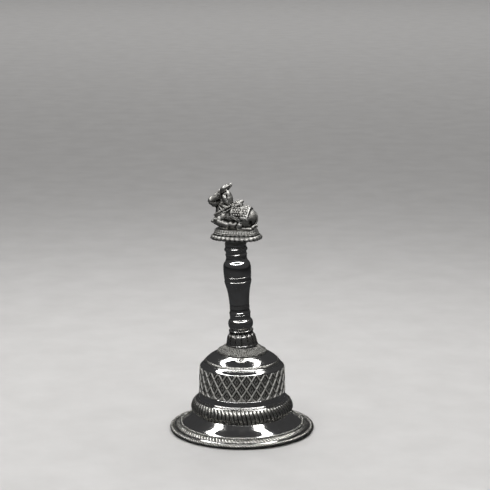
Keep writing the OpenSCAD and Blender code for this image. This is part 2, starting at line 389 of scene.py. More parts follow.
def panel(name, at, to, size, watts):
    """An oblong lamp that faces a point. The camera doesn't see it."""
    data = bpy.data.lights.new(name, "AREA")
    data.shape = "RECTANGLE"
    data.size, data.size_y = size
    data.energy = watts
    light = bpy.data.objects.new(name, data)
    light.location = at
    light.rotation_mode = "QUATERNION"
    light.rotation_quaternion = (Vector(to) - Vector(at)).to_track_quat("-Z", "Y")
    light.visible_camera = False
    bpy.context.collection.objects.link(light)
    return light


def studio():
    scene = bpy.context.scene
    camera_data = bpy.data.cameras.new("camera")
    camera = bpy.data.objects.new("camera", camera_data)
    bpy.context.collection.objects.link(camera)
    camera.location = CAMERA_AT
    camera.rotation_mode = "QUATERNION"
    camera.rotation_quaternion = (Vector(CAMERA_AIM) - camera.location).to_track_quat("-Z", "Y")
    camera_data.sensor_width = 36.0
    camera_data.lens = CAMERA_LENS
    camera_data.clip_start, camera_data.clip_end = 0.01, 50
    scene.camera = camera

    world = bpy.data.worlds.new("studio grey")
    world.use_nodes = True
    world.node_tree.nodes["Background"].inputs["Color"].default_value = (0.36, 0.36, 0.37, 1)
    world.node_tree.nodes["Background"].inputs["Strength"].default_value = 0.12
    scene.world = world
    scene.view_settings.view_transform = "Standard"
    scene.view_settings.look = "None"

    floor = bpy.data.objects.new("floor", bpy.data.meshes.new("floor"))
    half = FLOOR_HALF
    floor.data.from_pydata([(-half, -half, 0), (half, -half, 0), (half, half, 0), (-half, half, 0)],
                           [], [(0, 1, 2, 3)])
    floor.data.materials.append(floor_material())
    bpy.context.collection.objects.link(floor)

    # A black card lies on the floor. Only reflections see it, so the silver mirrors dark
    # surroundings while the floor stays pale.
    card = bpy.data.objects.new("black card", floor.data.copy())
    card.data.materials.clear()
    card.data.materials.append(card_material())
    card.location.z = CARD_LIFT
    card.visible_camera = card.visible_diffuse = card.visible_shadow = False
    bpy.context.collection.objects.link(card)

    # Eight panels make the overhead octagon of light that the polished silver mirrors.
    corners = []
    for k in range(8):
        a = TAU * k / 8
        corners.append((RING_X + RING_RX * math.cos(a), RING_Y + RING_RY * math.sin(a)))
    for k in range(8):
        (ax, ay), (bx, by) = corners[k], corners[(k + 1) % 8]
        at = ((ax + bx) / 2, (ay + by) / 2, RING_Z)
        side = math.hypot(bx - ax, by - ay)
        light = panel("octagon_%d" % k, at, (at[0], at[1], 0), (RING_WIDTH, side),
                      RING_WATTS_PER_METRE * side)
        turn = math.atan2(by - ay, bx - ax) - math.pi / 2
        light.rotation_quaternion = Matrix.Rotation(turn, 4, "Z").to_quaternion()
    # Two more panels light the floor behind the bell, and the silver doesn't mirror them.
    middle = panel("middle floor", (0.0, 1.0, 2.2), (0, 1.0, 0), (2.5, 0.3), MIDDLE_WATTS)
    far = panel("far floor", (0.0, 2.6, 2.6), (0, 2.9, 0), (4.0, 1.0), FAR_WATTS)
    middle.visible_glossy = far.visible_glossy = False


studio()


# ---------------------------------------------------------------- cup

FLARE = (MOUTH_R - 5.5, 3.5)
APRON = (DRUM_R + 4.2, 6.2)
NECK = (DRUM_R + 1.4, 9.3)
REED = (DRUM_R + 3.2, 11.2)
LEDGE = (DRUM_R + 1.4, 14.8)
LATTICE_LO, LATTICE_HI = 18.7, 30.7
FLOOR_R = DRUM_R - 0.75
DOME = (DRUM_R - 2.6, 32.7)
CONE = (12.2, CROWN_Z - 2.6)
CROWN_BORE = ROD_R + 0.3

ROPE_C = (MOUTH_R - 1.05, 1.15)
BEAD_WIRE_C = (MOUTH_R - 5.35, 3.7)
BRIM_LO, BRIM_HI = [MOUTH_R - 2.6, 2.2], [MOUTH_R - 4.8, 3.35]
BRIM_CURVE = [BRIM_LO] + bezier(BRIM_LO, [MOUTH_R - 3.7, 3.0], BRIM_HI, 10)
REED_CURVE = [list(NECK)] + bezier(NECK, (NECK[0] + 1.7, 9.5), REED, 5)
REED_CURVE += bezier(REED, (DRUM_R + 3.0, 13.2), LEDGE, 10)
DOME_CURVE = bezier(DOME, (DRUM_R - 4, 35.5), CONE, 28)


def cup_outline():
    """The cup's closed outline: up its outside from the mouth, and down its inside."""
    outside = [[MOUTH_R - 5, 0], [MOUTH_R - 1.9, 0], [MOUTH_R - 1.75, 0.3]]
    outside += arc(ROPE_C, 1.08, 225, 140, 8)
    outside += [[MOUTH_R - 1.95, 2.05], [MOUTH_R - 2.3, 1.95]] + BRIM_CURVE
    outside += arc(BEAD_WIRE_C, 0.5, -40, -175, 8)
    outside += [list(FLARE)] + bezier(FLARE, (MOUTH_R - 7.6, 4.25), APRON, 24)
    outside += REED_CURVE
    outside += [[DRUM_R + 1.25, 15.0], [DRUM_R + 0.95, 15.05], [DRUM_R, 15.0]]
    outside += arc((DRUM_R - 0.05, 15.5), 0.3, -80, 80, 10)
    outside += [[DRUM_R - 0.1, 16.3], [DRUM_R - 0.1, LATTICE_LO - 0.3]]
    outside += [[FLOOR_R, LATTICE_LO], [FLOOR_R - 0.3, LATTICE_HI]]
    outside += [[DRUM_R - 0.6, LATTICE_HI + 0.1]]
    outside += bezier([DRUM_R - 0.6, LATTICE_HI + 0.1], (DRUM_R - 0.7, 31.3), (DRUM_R - 2.1, 32.3), 8)
    outside += arc((DRUM_R - 2.4, 32.5), 0.24, -20, 110, 8) + DOME_CURVE
    outside += [[7, CROWN_Z], [CROWN_BORE, CROWN_Z]]
    mouth, neck_in, waist = (MOUTH_R - 5.6, 1), (DRUM_R + 0.3, 8.6), (DRUM_R, 14.0)
    drum, shoulder, vault = (DRUM_R - 1.7, 17.2), (DRUM_R - 2, 29.0), (DRUM_R - 3.8, 31.8)
    inside = [list(mouth)] + bezier(mouth, (MOUTH_R - 9.6, 2.9), neck_in, 18)
    inside += bezier(neck_in, (DRUM_R + 1.9, 11.2), waist, 10)
    inside += bezier(waist, (DRUM_R - 1, 15.6), drum, 6) + [list(shoulder)]
    inside += bezier(shoulder, (DRUM_R - 2.3, 31), vault, 8)
    inside += bezier(vault, (DRUM_R - 6, 34.4), (DRUM_R - 9.4, 35.8), 10)
    inside += [[6, CROWN_Z - 2.6], [CROWN_BORE, CROWN_Z - 2.6]]
    return outside + inside[::-1]


def on_bell(piece, *nodes, slot):
    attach(piece, "bell")
    if nodes:
        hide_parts(*nodes)
    return piece


cup = revolve("cup_shell", resample(cup_outline(), 0.32), 320, POLISHED, relief=0.9)
on_bell(cup, "bell_cup", slot="polished_silver")

# Lattice: two families of slanting ridges that cross, with a small raised lozenge in each diamond.
DIAMONDS = 27
DIAMOND_H = 7.2
DIAMOND_TURN, DIAMOND_UP = 0.2, 20.6   # where the ridges cross: share of a diamond, and height
DIAMOND_W = TAU * DRUM_R / DIAMONDS
RIDGE = 0.44          # half the width of a ridge
LATTICE_DEPTH = 0.62


def lattice_lift(angle, s):
    z = LATTICE_LO + (LATTICE_HI - LATTICE_LO) * s
    across = angle * DIAMONDS / TAU - DIAMOND_TURN
    up = (z - DIAMOND_UP) / DIAMOND_H
    to_mm = 1 / math.hypot(1 / DIAMOND_W, 1 / DIAMOND_H)
    a, b = saw(across + up) * to_mm, saw(across - up) * to_mm
    foot = smoothstep(19.9, 18.9, z)
    half = RIDGE * (1 + 1.1 * foot)
    ridge = np.maximum(np.sqrt(np.clip(1 - (a / half) ** 2, 0, 1)),
                       np.sqrt(np.clip(1 - (b / half) ** 2, 0, 1)))
    inner = np.minimum(a, b)
    lozenge = 0.36 * smoothstep(0.85, 1.15, inner) - 0.3 * smoothstep(1.3, 1.6, inner)
    nick = 0.12 * np.cos((a - b) * TAU / 0.55) * smoothstep(0.8, 1.0, inner)
    height = np.maximum(ridge, lozenge + nick * (lozenge > 0.1))
    edge = smoothstep(0, 0.012, s) * smoothstep(1, 0.988, s)
    return LATTICE_DEPTH * height * edge, 0.05 + 0.95 * height * edge


lattice_line = resample([[DRUM_R - LATTICE_DEPTH, LATTICE_LO],
                         [DRUM_R - LATTICE_DEPTH - 0.3, LATTICE_HI]], 0.13)
on_bell(chased_ring("lattice_band", lattice_line, lattice_lift, DIAMONDS * 34, LIT_LATTICE, 0.5),
        "bell_cup", slot="frosted_silver")

# Reeds: a band of slanting ribs at the top of the flare.
REEDS = 76


def reed_lift(angle, s):
    phase = (angle + 0.085 * s) * REEDS / TAU
    rib = np.sqrt(np.clip(1 - (saw(phase) / 0.5) ** 2, 0, 1))
    ends = np.clip(1 - np.abs(2 * s - 1) ** 7, 0, 1) ** 0.5
    return (0.05 + 0.46 * rib) * ends, (0.02 + 0.98 * rib ** 2) * (0.35 + 0.65 * ends)


reed_line = resample(REED_CURVE, 0.16)
on_bell(chased_ring("reed_band", reed_line, reed_lift, REEDS * 12, CHASED, 0.5),
        "bell_cup", slot="frosted_silver")


# Hatch: fine upright lines on the dome, just above its ledge.
HATCHES = 150


def hatch_lift(angle, s):
    line = np.cos(angle * HATCHES) * 0.5 + 0.5
    ends = np.clip(1 - np.abs(2 * s - 1) ** 9, 0, 1)
    return (0.04 + 0.1 * line) * ends, 0.2 + 0.8 * line


hatch_line = resample(DOME_CURVE[1:8], 0.2)
on_bell(chased_ring("dome_hatch", hatch_line, hatch_lift, HATCHES * 6, CHASED, 0.3),
        "bell_cup", slot="frosted_silver")


# ---------------------------------------------------------------- rim wires

def wire_ring(name, centre, r, sides, cols, thickness, material):
    """A wire bent round the mouth; thickness(angle, around) is its radius as a share of r."""
    around = (np.arange(sides) * TAU / sides)[:, None]
    angle = (np.arange(cols) * TAU / cols)[None, :]
    share, value = thickness(angle + 0 * around, around + 0 * angle)
    rr = centre[0] + r * share * np.cos(around)
    zz = centre[1] + r * share * np.sin(around)
    verts = np.stack([rr * np.cos(angle), rr * np.sin(angle), zz], -1).reshape(-1, 3)
    return object_from(name, verts, grid_faces(sides, cols, True), material, value.reshape(-1))


ROPE_TURNS = 84
BEADS = 180
NOTCHES = 120


def rope(angle, around):
    strand = np.abs(np.cos(ROPE_TURNS * angle + 2 * around))
    return 0.66 + 0.34 * strand ** 0.6, strand ** 1.5


def beads(angle, around):
    t = 2 * saw(angle * BEADS / TAU)
    return 0.45 + 0.55 * np.sqrt(np.clip(1 - t ** 2, 0, 1)), 0.2 + 0.8 * (1 - t ** 2)


on_bell(wire_ring("rope_wire", ROPE_C, 1.05, 24, ROPE_TURNS * 18, rope, CHASED),
        "rim_rope_wire", slot="frosted_silver")
on_bell(wire_ring("bead_wire", BEAD_WIRE_C, 0.5, 14, BEADS * 10, beads, CHASED),
        "rim_bead_wire", slot="frosted_silver")


def brim_lift(angle, s):
    notch = np.abs(np.cos(NOTCHES / 2 * angle + 3.0 * s)) ** 0.5
    ends = np.clip(1 - np.abs(2 * s - 1) ** 6, 0, 1)
    return (0.02 + 0.3 * notch) * ends, 0.1 + 0.9 * notch ** 2 * ends


brim_line = resample(BRIM_CURVE, 0.2)
on_bell(chased_ring("brim_band", brim_line, brim_lift, NOTCHES * 8, CHASED, 0.3),
        "bell_cup", slot="frosted_silver")


# ---------------------------------------------------------------- rosette and handle

ROSETTE_R = 11.85
ROSETTE_RAYS, ROSETTE_PETALS = 72, 16
ROSETTE_EDGE_Z = CROWN_Z - 2.6 * (ROSETTE_R - 7) / 5.2


def rosette_lift(angle, s):
    ray = np.abs(np.cos(angle * ROSETTE_RAYS / 2)) ** 0.7
    petal = np.clip(1 - (2 * saw(angle * ROSETTE_PETALS / TAU)) ** 2 - (1 - s) ** 2 * 0.2, 0, 1)
    band = smoothstep(0.12, 0.2, s) * smoothstep(0.97, 0.9, s)
    step = smoothstep(0.5, 0.54, s) * 0.12
    height = step + band * (0.18 * ray + 0.12 * petal ** 0.5)
    return height, 0.15 + 0.85 * ray * band + 0.5 * (1 - band)


rosette_line = resample([[ROSETTE_R, ROSETTE_EDGE_Z - 0.1], [ROSETTE_R, ROSETTE_EDGE_Z + 0.5]]
                        + bezier([ROSETTE_R, ROSETTE_EDGE_Z + 0.5],
                                 [ROSETTE_R - 0.3, ROSETTE_EDGE_Z + 0.95],
                                 [ROSETTE_R - 1.2, ROSETTE_EDGE_Z + 1.15], 5)
                        + [[7.7, SEAT_Z - 0.28], [6.8, SEAT_Z - 0.12], [6.2, SEAT_Z - 0.12]], 0.16)
on_bell(chased_ring("rosette", rosette_line, rosette_lift, ROSETTE_RAYS * 12, SHADED_ROSETTE,
                    bore=CROWN_BORE), "crown_rosette", slot="frosted_silver")

ROD_BORE = ROD_R + 0.1
CAP_PETALS = 14


def cap_lift(angle, s):
    turn = angle * CAP_PETALS / TAU
    v = smoothstep(0.1, 0.98, s)
    half = 0.47 * np.sqrt(np.clip(1 - v ** 2, 0, 1))
    inside = half - saw(turn)
    petal = smoothstep(0.0, 0.1, inside)
    vein = np.exp(-(saw(turn) / 0.045) ** 2) + 0.6 * np.exp(-((saw(turn) - 0.2) / 0.04) ** 2)
    between = 0.35 * np.abs(np.cos(TAU * (turn * 3 + s * 6)))
    height = np.where(inside > 0, petal * (0.75 - 0.35 * vein), between * smoothstep(1, 0.8, s))
    tooth = smoothstep(0.16, 0.1, s) * np.abs(np.cos(turn * TAU / 2)) ** 0.5
    height = np.maximum(height * smoothstep(0.08, 0.16, s), tooth * 0.8)
    rim = smoothstep(0.93, 0.97, s)
    return 0.24 * height * (1 - rim), 0.15 + 0.85 * np.maximum(height, rim)


cap_line = resample([[7.35, -0.5], [7.35, 0.6], [7.05, 1.1]]
                    + bezier([7.05, 1.1], [6.8, 2.9], [6.55, 3.9], 8)
                    + bezier([6.55, 3.9], [6.3, 5.2], [5.8, 5.5], 8)
                    + bezier([5.8, 5.5], [5.4, 5.75], [5.4, 6.6], 8)
                    + [[5.65, 7.0], [5.7, CAP_LEN]], 0.14)
on_bell(chased_ring("foot_cap_petals", cap_line, cap_lift, CAP_PETALS * 36, CAP, bore=ROD_BORE,
                    place=ON_HANDLE), "foot_cap", slot="polished_silver")


def engraved(*lines):
    """A lift that cuts fine grooves at the given shares of the line's length."""
    def lift(angle, s):
        cut = sum(np.exp(-((s - at) / 0.006) ** 2) for at in lines) + 0 * angle
        return -0.1 * cut, 0.95 - 0.75 * np.clip(cut, 0, 1)
    return lift


def turned_piece(name, points, lift, node):
    """A polished piece on the handle's rod, in place of one CAD node."""
    line = resample(points, 0.2)
    on_bell(chased_ring(name, line, lift, 192, POLISHED_HANDLE, bore=ROD_BORE, place=ON_HANDLE),
            node, slot="polished_silver")


NECK_R = 4.9
turned_piece("handle_knop", [[NECK_R, CAP_LEN], [NECK_R, CAP_LEN + 0.7],
                             [NECK_R + 0.25, CAP_LEN + 0.9]]
             + bezier([NECK_R + 0.25, CAP_LEN + 0.9], [NECK_R + 0.9, CAP_LEN + 1.6],
                      [NECK_R + 0.95, CAP_LEN + 3.0], 10)
             + bezier([NECK_R + 0.95, CAP_LEN + 3.0], [NECK_R + 0.95, CAP_LEN + 4.5],
                      [NECK_R + 0.3, CAP_LEN + 5.0], 12)
             + bezier([NECK_R + 0.3, CAP_LEN + 5.0], [NECK_R - 0.15, CAP_LEN + 5.3],
                      [NECK_R - 0.05, CAP_LEN + 6.2], 10) + [[NECK_R, BEAD_END]],
             engraved(0.12, 0.84, 0.93), "handle_bead")

GRIP_R, WAIST_R = 6.5, 4.65
RING_S = 31.0
turned_piece("grip", [[WAIST_R + 0.25, BEAD_END], [WAIST_R + 0.35, BEAD_END + 0.3],
                      [WAIST_R + 0.3, BEAD_END + 0.9], [WAIST_R + 0.05, BEAD_END + 1.3]]
             + bezier([WAIST_R + 0.05, BEAD_END + 1.3], [WAIST_R - 0.25, 24.5],
                      [GRIP_R - 0.25, RING_S - 0.6], 30)
             + arc((GRIP_R - 0.4, RING_S), 0.28, -60, 60, 8)
             + [[GRIP_R - 0.25, RING_S + 0.5], [GRIP_R - 0.25, RING_S + 1.7]]
             + arc((GRIP_R - 0.4, RING_S + 2.2), 0.28, -60, 60, 8)
             + bezier([GRIP_R - 0.15, RING_S + 2.7], [GRIP_R + 0.05, GRIP_END - 7.6],
                      [GRIP_R - 0.05, GRIP_END - 6.0], 12)
             + bezier([GRIP_R - 0.05, GRIP_END - 6.0], [GRIP_R - 0.15, GRIP_END - 3.9],
                      [GRIP_R - 0.8, GRIP_END - 3.2], 14)
             + bezier([GRIP_R - 0.8, GRIP_END - 3.2], [GRIP_R - 1.6, GRIP_END - 2.3],
                      [GRIP_R - 1.6, GRIP_END - 0.9], 14) + [[GRIP_R - 1.6, GRIP_END]],
             engraved(0.075, 0.09, 0.16, 0.95), "handle_grip")

COLLAR_C = (4.45, GRIP_END + 2.8)
turned_piece("collar", [[5.05, GRIP_END], [5.15, GRIP_END + 0.25], [5.05, GRIP_END + 0.5],
                        [4.85, GRIP_END + 0.9], [4.85, GRIP_END + 1.7]]
             + arc(COLLAR_C, 0.98, -60, 60, 14)
             + [[4.9, GRIP_END + 4.0], [5.0, HANDLE_LEN]], engraved(0.2, 0.86), "handle_collar")


# ---------------------------------------------------------------- lotus plinth

PLINTH_L, PLINTH_W = 24.2, 18.0
SLAB_INSET = 1.8
SLAB_LEAVES = 46
CORE_INSET = 8.0      # where both mouldings end, out of sight inside the plinth
FINIAL_YAW = math.radians(-20)
FINIAL_LEVEL = math.radians(2.6)
FINIAL_BACK, FINIAL_SHIFT = 0.2, 0.8
# The finial sits a little more level than the leaning handle under it.
ON_FINIAL = (ON_HANDLE @ Matrix.Translation((-FINIAL_BACK, 0, PLINTH_S))
             @ Matrix.Rotation(FINIAL_LEVEL, 4, "Y")
             @ Matrix.Translation((0, 0, -PLINTH_S)) @ Matrix.Rotation(FINIAL_YAW, 4, "Z")
             @ Matrix.Translation((FINIAL_SHIFT, 0, 0)))


def oval(u, inset):
    """Points of the plinth's outline, let in by inset, at shares u of its length."""
    def at(a, inset):
        c, n = np.cos(a), np.sin(a)
        return np.stack([np.sign(c) * np.abs(c) ** 0.8 * (PLINTH_L / 2 - inset),
                         np.sign(n) * np.abs(n) ** 0.8 * (PLINTH_W / 2 - inset)], -1)
    fine = np.linspace(0, TAU, 2001)
    run = np.concatenate([[0], np.cumsum(np.linalg.norm(np.diff(at(fine, 0), axis=0), axis=1))])
    return at(np.interp(u * run[-1], run, fine), inset)


def oval_moulding(rows, lift, cols):
    """Points and relief of an oval moulding of (inset, z) rows; lift(u, t) pushes it out and down."""
    u = np.arange(cols) / cols
    verts, values = [], []
    for (inset, z), t in zip(rows, np.linspace(0, 1, len(rows))):
        out, drop, value = lift(u, t)
        verts.append(np.column_stack([oval(u, inset - out), z - drop + 0 * u]))
        values.append(value)
    return np.concatenate(verts), np.concatenate(values)


PETALS = 30


def lotus_lift(u, t):
    tip = 1 - (2 * saw(u * PETALS)) ** 2
    bell = math.exp(-((t - 0.42) / 0.2) ** 2)
    low = smoothstep(0.12, 0.3, t) * smoothstep(0.62, 0.4, t)
    fold = np.abs(np.cos(PETALS * TAU * u)) ** 2
    groove = math.exp(-((t - 0.595) / 0.018) ** 2)
    # Petal tips are bright and the spaces between them hold oxide; the groove between the tiers is
    # darkened further, partly oxide and partly painted shade.
    value = (0.45 + 0.55 * tip * (0.6 + 0.4 * fold)) * (1 - 0.9 * groove)
    return 0.26 * bell * (tip - 1) - 0.3 * groove, 0.30 * low * (tip - 0.6), value


lotus_rows = resample([[CORE_INSET, 0.15], [1.5, 0.0], [0.6, -0.25], [0.1, 0.1], [0.0, 0.7],
                       [0.25, 1.3], [0.8, 1.8], [1.25, 2.1], [1.35, 2.4], [1.5, PLINTH_H],
                       [CORE_INSET, PLINTH_H]], 0.2)
lotus_cols = PETALS * 16
verts, values = oval_moulding(lotus_rows, lotus_lift, lotus_cols)
verts += (0, 0, PLINTH_S)
on_bell(object_from("lotus_tier", verts, grid_faces(len(lotus_rows), lotus_cols, True), CAST, values,
                    ON_FINIAL), "lotus_plinth", slot="cast_silver")
boss_line = resample([[4.95, HANDLE_LEN], [5.0, HANDLE_LEN + 0.4], [4.75, HANDLE_LEN + 0.9]]
                     + bezier([4.75, HANDLE_LEN + 0.9], [4.6, HANDLE_LEN + 2.2],
                              [5.6, PLINTH_S + 0.25], 8) + [[5.6, PLINTH_S + 0.6]], 0.15)
on_bell(chased_ring("finial_boss", boss_line, engraved(0.2, 0.35), 192, CAST, bore=ROD_BORE,
                    place=ON_HANDLE), "lotus_plinth", slot="cast_silver")

slab_rows = resample([[CORE_INSET, 0.0], [SLAB_INSET - 0.1, 0.0], [SLAB_INSET - 0.2, 0.3],
                      [SLAB_INSET, 0.6], [SLAB_INSET + 0.25, 0.75], [SLAB_INSET + 0.2, 1.0],
                      [SLAB_INSET + 0.45, 1.6], [SLAB_INSET + 0.8, SLAB_H],
                      [CORE_INSET, SLAB_H + 0.02]], 0.18)


def slab_lift(u, t):
    leaf = 1 - (2 * saw(u * SLAB_LEAVES)) ** 2
    low = math.exp(-((t - 0.52) / 0.05) ** 2)
    # The upper rows are kept bright and the lower rows darker: painted light on the top and painted
    # shade below.
    return 0.1 * low * leaf, 0 * u, 0.45 + 0.45 * leaf * low + 0.4 * smoothstep(0.55, 0.7, t)


# ---------------------------------------------------------------- bull

# The bull's own frame: x runs from head (-) to rump (+), y across, and z up from the slab's top.
ON_SLAB = ON_FINIAL @ Matrix.Translation((0, 0, PLINTH_S + PLINTH_H + SLAB_H))


def blob(centre, radii, pitch=0.0):
    """An ellipsoid as points and faces, tipped by pitch degrees about the bull's cross axis."""
    n, m = 24, 14
    a = (np.arange(n) * TAU / n)[None, :]
    b = (np.linspace(-math.pi / 2, math.pi / 2, m))[1:-1, None]
    ring = np.stack([np.cos(b) * np.cos(a), np.cos(b) * np.sin(a), np.sin(b) + 0 * a], -1)
    ring = ring.reshape(-1, 3)
    points = np.concatenate([ring, [[0, 0, -1], [0, 0, 1]]]) * radii
    t = math.radians(pitch)
    turn = np.array([[math.cos(t), 0, math.sin(t)], [0, 1, 0], [-math.sin(t), 0, math.cos(t)]])
    faces = grid_faces(m - 2, n, False)
    south, north = len(ring), len(ring) + 1
    for k in range(n):
        faces += [[(k + 1) % n, k, south], [(m - 3) * n + k, (m - 3) * n + (k + 1) % n, north]]
    return points @ turn.T + centre, faces


def limb(a, ra, b, rb):
    """A tapered limb with round ends between two points, as points and faces."""
    a, b = np.array(a, float), np.array(b, float)
    d = (b - a) / np.linalg.norm(b - a)
    path, radii = [], []
    for q in np.linspace(-0.98, 0, 6):
        path.append(a + d * ra * q)
        radii.append(ra * math.sqrt(1 - q * q))
    for q in np.linspace(0, 1, 6)[1:-1]:
        path.append(a + (b - a) * q)
        radii.append(ra + (rb - ra) * q)
    for q in np.linspace(0, 0.98, 6):
        path.append(b + d * rb * q)
        radii.append(rb * math.sqrt(1 - q * q))
    return tube_mesh(path, radii, 20)


def curve_through(points):
    """A smooth line through a few points: a Catmull-Rom spline, 24 steps to a span."""
    p = np.array(points, float)
    p = np.concatenate([[2 * p[0] - p[1]], p, [2 * p[-1] - p[-2]]])
    out = []
    for i in range(len(p) - 3):
        for t in np.linspace(0, 1, 24, endpoint=False):
            a, b, c, d = p[i:i + 4]
            out.append(0.5 * (2 * b + (c - a) * t + (2 * a - 5 * b + 4 * c - d) * t ** 2
                              + (3 * b - a - 3 * c + d) * t ** 3))
    return np.array(out + [p[-2]])


def both_sides(build):
    """The parts that build(side) returns for the near side, -1, and the far side, 1."""
    return build(-1) + build(1)


def merged(parts):
    """The points and faces of several parts as those of one mesh."""
    verts, faces = [], []
    for points, quads in parts:
        start = sum(len(v) for v in verts)
        verts.append(points)
        faces += [[i + start for i in f] for f in quads]
    return np.concatenate(verts), faces


def skin(parts, voxel):
    """One closed skin round overlapping closed parts, by a voxel remesh: points and faces."""
    mesh = bpy.data.meshes.new("skin")
    verts, faces = merged(parts)
    mesh.from_pydata(verts.tolist(), [], faces)
    bm = bmesh.new()
    bm.from_mesh(mesh)
    bmesh.ops.recalc_face_normals(bm, faces=bm.faces)
    bm.to_mesh(mesh)
    bm.free()
    obj = bpy.data.objects.new("skin", mesh)
    bpy.context.collection.objects.link(obj)
    remesh = obj.modifiers.new("remesh", "REMESH")
    remesh.mode = "VOXEL"
    remesh.voxel_size = voxel
    made = bpy.data.meshes.new_from_object(obj.evaluated_get(bpy.context.evaluated_depsgraph_get()))
    points = np.empty(len(made.vertices) * 3)
    made.vertices.foreach_get("co", points)
    quads = np.empty(len(made.loops), int)
    made.loops.foreach_get("vertex_index", quads)
    bpy.data.objects.remove(obj)
    bpy.data.meshes.remove(mesh)
    bpy.data.meshes.remove(made)
    return points.reshape(-1, 3), quads.reshape(-1, 4)


def relaxed(points, quads, rounds, share=0.5):
    """Points moved towards the mean of their neighbours, a few rounds."""
    a = quads.reshape(-1)
    b = np.roll(quads, -1, axis=1).reshape(-1)
    count = np.bincount(a, minlength=len(points)) + np.bincount(b, minlength=len(points))
    for _ in range(rounds):
        total = np.zeros_like(points)
        for axis in range(3):
            total[:, axis] = (np.bincount(a, points[b, axis], len(points))
                              + np.bincount(b, points[a, axis], len(points)))
        points = points + share * (total / count[:, None] - points)
    return points


def point_normals(points, quads):
    """Unit normals at the points of a quad mesh."""
    flat = np.cross(points[quads[:, 2]] - points[quads[:, 0]],
                    points[quads[:, 3]] - points[quads[:, 1]])
    normals = np.zeros_like(points)
    for k in range(4):
        for axis in range(3):
            normals[:, axis] += np.bincount(quads[:, k], flat[:, axis], len(points))
    return normals / np.linalg.norm(normals, axis=1, keepdims=True)


def body_parts():
    """Barrel, neck, hump, head, legs, brows and horn roots, softened into each other."""
    barrel = [limb([-5.2, 0, 5.0], 4.8, [5.2, 0, 4.8], 4.7),
              limb([-0.4, 0, 6.4], 4.5, [4.6, 0, 6.0], 4.7),
              blob([6.2, 0, 4.9], [4.4, 4.7, 4.7]),
              blob([-6.0, 0, 5.0], [4.4, 4.2, 5.0]),
              blob([-0.5, 0, 2.5], [7.4, 5.6, 3.2])]
    neck = [limb([-5.2, 0, 8.0], 4.1, [-4.3, 0, 13.6], 2.9),
            blob([-8.3, 0, 6.6], [1.7, 1.3, 3.8], -8)]
    hump = [limb([-0.6, 0, 9.0], 2.5, [1.6, 0, 11.4], 1.6),
            limb([1.4, 0, 11.3], 1.5, [3.3, 0, 12.9], 0.85)]
    head = [blob([-4.9, 0, 15.3], [2.9, 2.5, 2.7], 20),
            limb([-5.6, 0, 15.5], 2.5, [-10.9, 0, 13.0], 1.65),
            limb([-9.2, 0, 15.0], 1.3, [-5.4, 0, 17.2], 1.5),
            blob([-12.0, 0, 12.5], [1.75, 1.95, 2.1], 10),
            limb([-5.6, 0, 12.4], 2.2, [-10.8, 0, 10.9], 1.5)]

    def pair(side):
        return [blob([5.7, 3.1 * side, 4.2], [3.3, 2.5, 4.1], 16),
                limb([3.6, 4.3 * side, 2.0], 1.7, [3.0, 4.7 * side, 1.2], 1.3),
                blob([-5.3, 2.9 * side, 4.9], [2.7, 2.2, 3.6], 24),
                limb([-6.4, 3.4 * side, 4.4], 2.1, [-8.5, 3.4 * side, 3.5], 1.7),
                limb([-6.6, 3.9 * side, 3.3], 2.1, [-3.0, 4.3 * side, 2.3], 1.8),
                blob([-7.0, 2.0 * side, 15.9], [1.0, 0.8, 0.6], 20),
                limb([-6.6, 1.5 * side, 16.0], 1.0, [-5.0, 1.7 * side, 16.2], 1.4)]
    return barrel + neck + hump + head + both_sides(pair)


def sharp_parts():
    """Horns, ears, hooves and tail, which keep their edges."""
    def sides(side):
        horn = curve_through([[-6.0, 1.0 * side, 16.6], [-5.7, 2.0 * side, 17.7],
                              [-4.8, 2.8 * side, 18.8], [-3.7, 2.5 * side, 19.6],
                              [-2.9, 1.5 * side, 19.9]])
        taper = 1.5 - 0.75 * np.linspace(0, 1, len(horn)) ** 1.6
        ear = curve_through([[-5.4, 2.1 * side, 16.3], [-4.6, 3.0 * side, 14.9],
                             [-3.6, 3.5 * side, 13.2], [-2.9, 3.5 * side, 11.8]])
        share = np.linspace(0, 1, len(ear))
        points, faces = tube_mesh(ear, 0.45 + 0.62 * np.sin(math.pi * share ** 0.8), 16)
        axis = np.repeat(ear, 16, 0)
        flat = points[:len(axis)] - axis
        flat[:, 1] *= 0.55
        points[:len(axis)] = axis + flat
        return [tube_mesh(horn, taper, 16), (points, faces),
                limb([3.0, 4.7 * side, 0.9], 1.0, [7.2, 4.5 * side, 0.7], 0.75),
                limb([7.4, 4.45 * side, 0.7], 0.95, [8.4, 4.2 * side, 0.65], 0.8),
                limb([-5.0, 4.4 * side, 1.15], 1.0, [-3.0, 4.7 * side, 0.95], 0.85)]
    tail = curve_through([[8.0, 0, 8.4], [9.8, -0.2, 6.9], [10.4, -0.6, 4.6], [9.9, -1.6, 2.4],
                          [8.7, -2.9, 1.1]])
    width = 0.5 + 0.35 * smoothstep(0.7, 0.95, np.linspace(0, 1, len(tail)))
    return both_sides(sides) + [tube_mesh(tail, width, 14)]


CLOTH_FRONT, CLOTH_STEP, CLOTH_BACK = -1.2, 4.1, 7.5


def cloth_edge(x):
    """Height of the saddle cloth's lower edge, which steps up behind the girth."""
    return np.where(x < CLOTH_STEP, 6.4 - 0.46 * (x + 1), 5.3)


def near(points, centre, radius):
    """1 at the centre, falling softly to 0 at the radius."""
    return smoothstep(1, 0, np.linalg.norm((points - centre) / radius, axis=1))


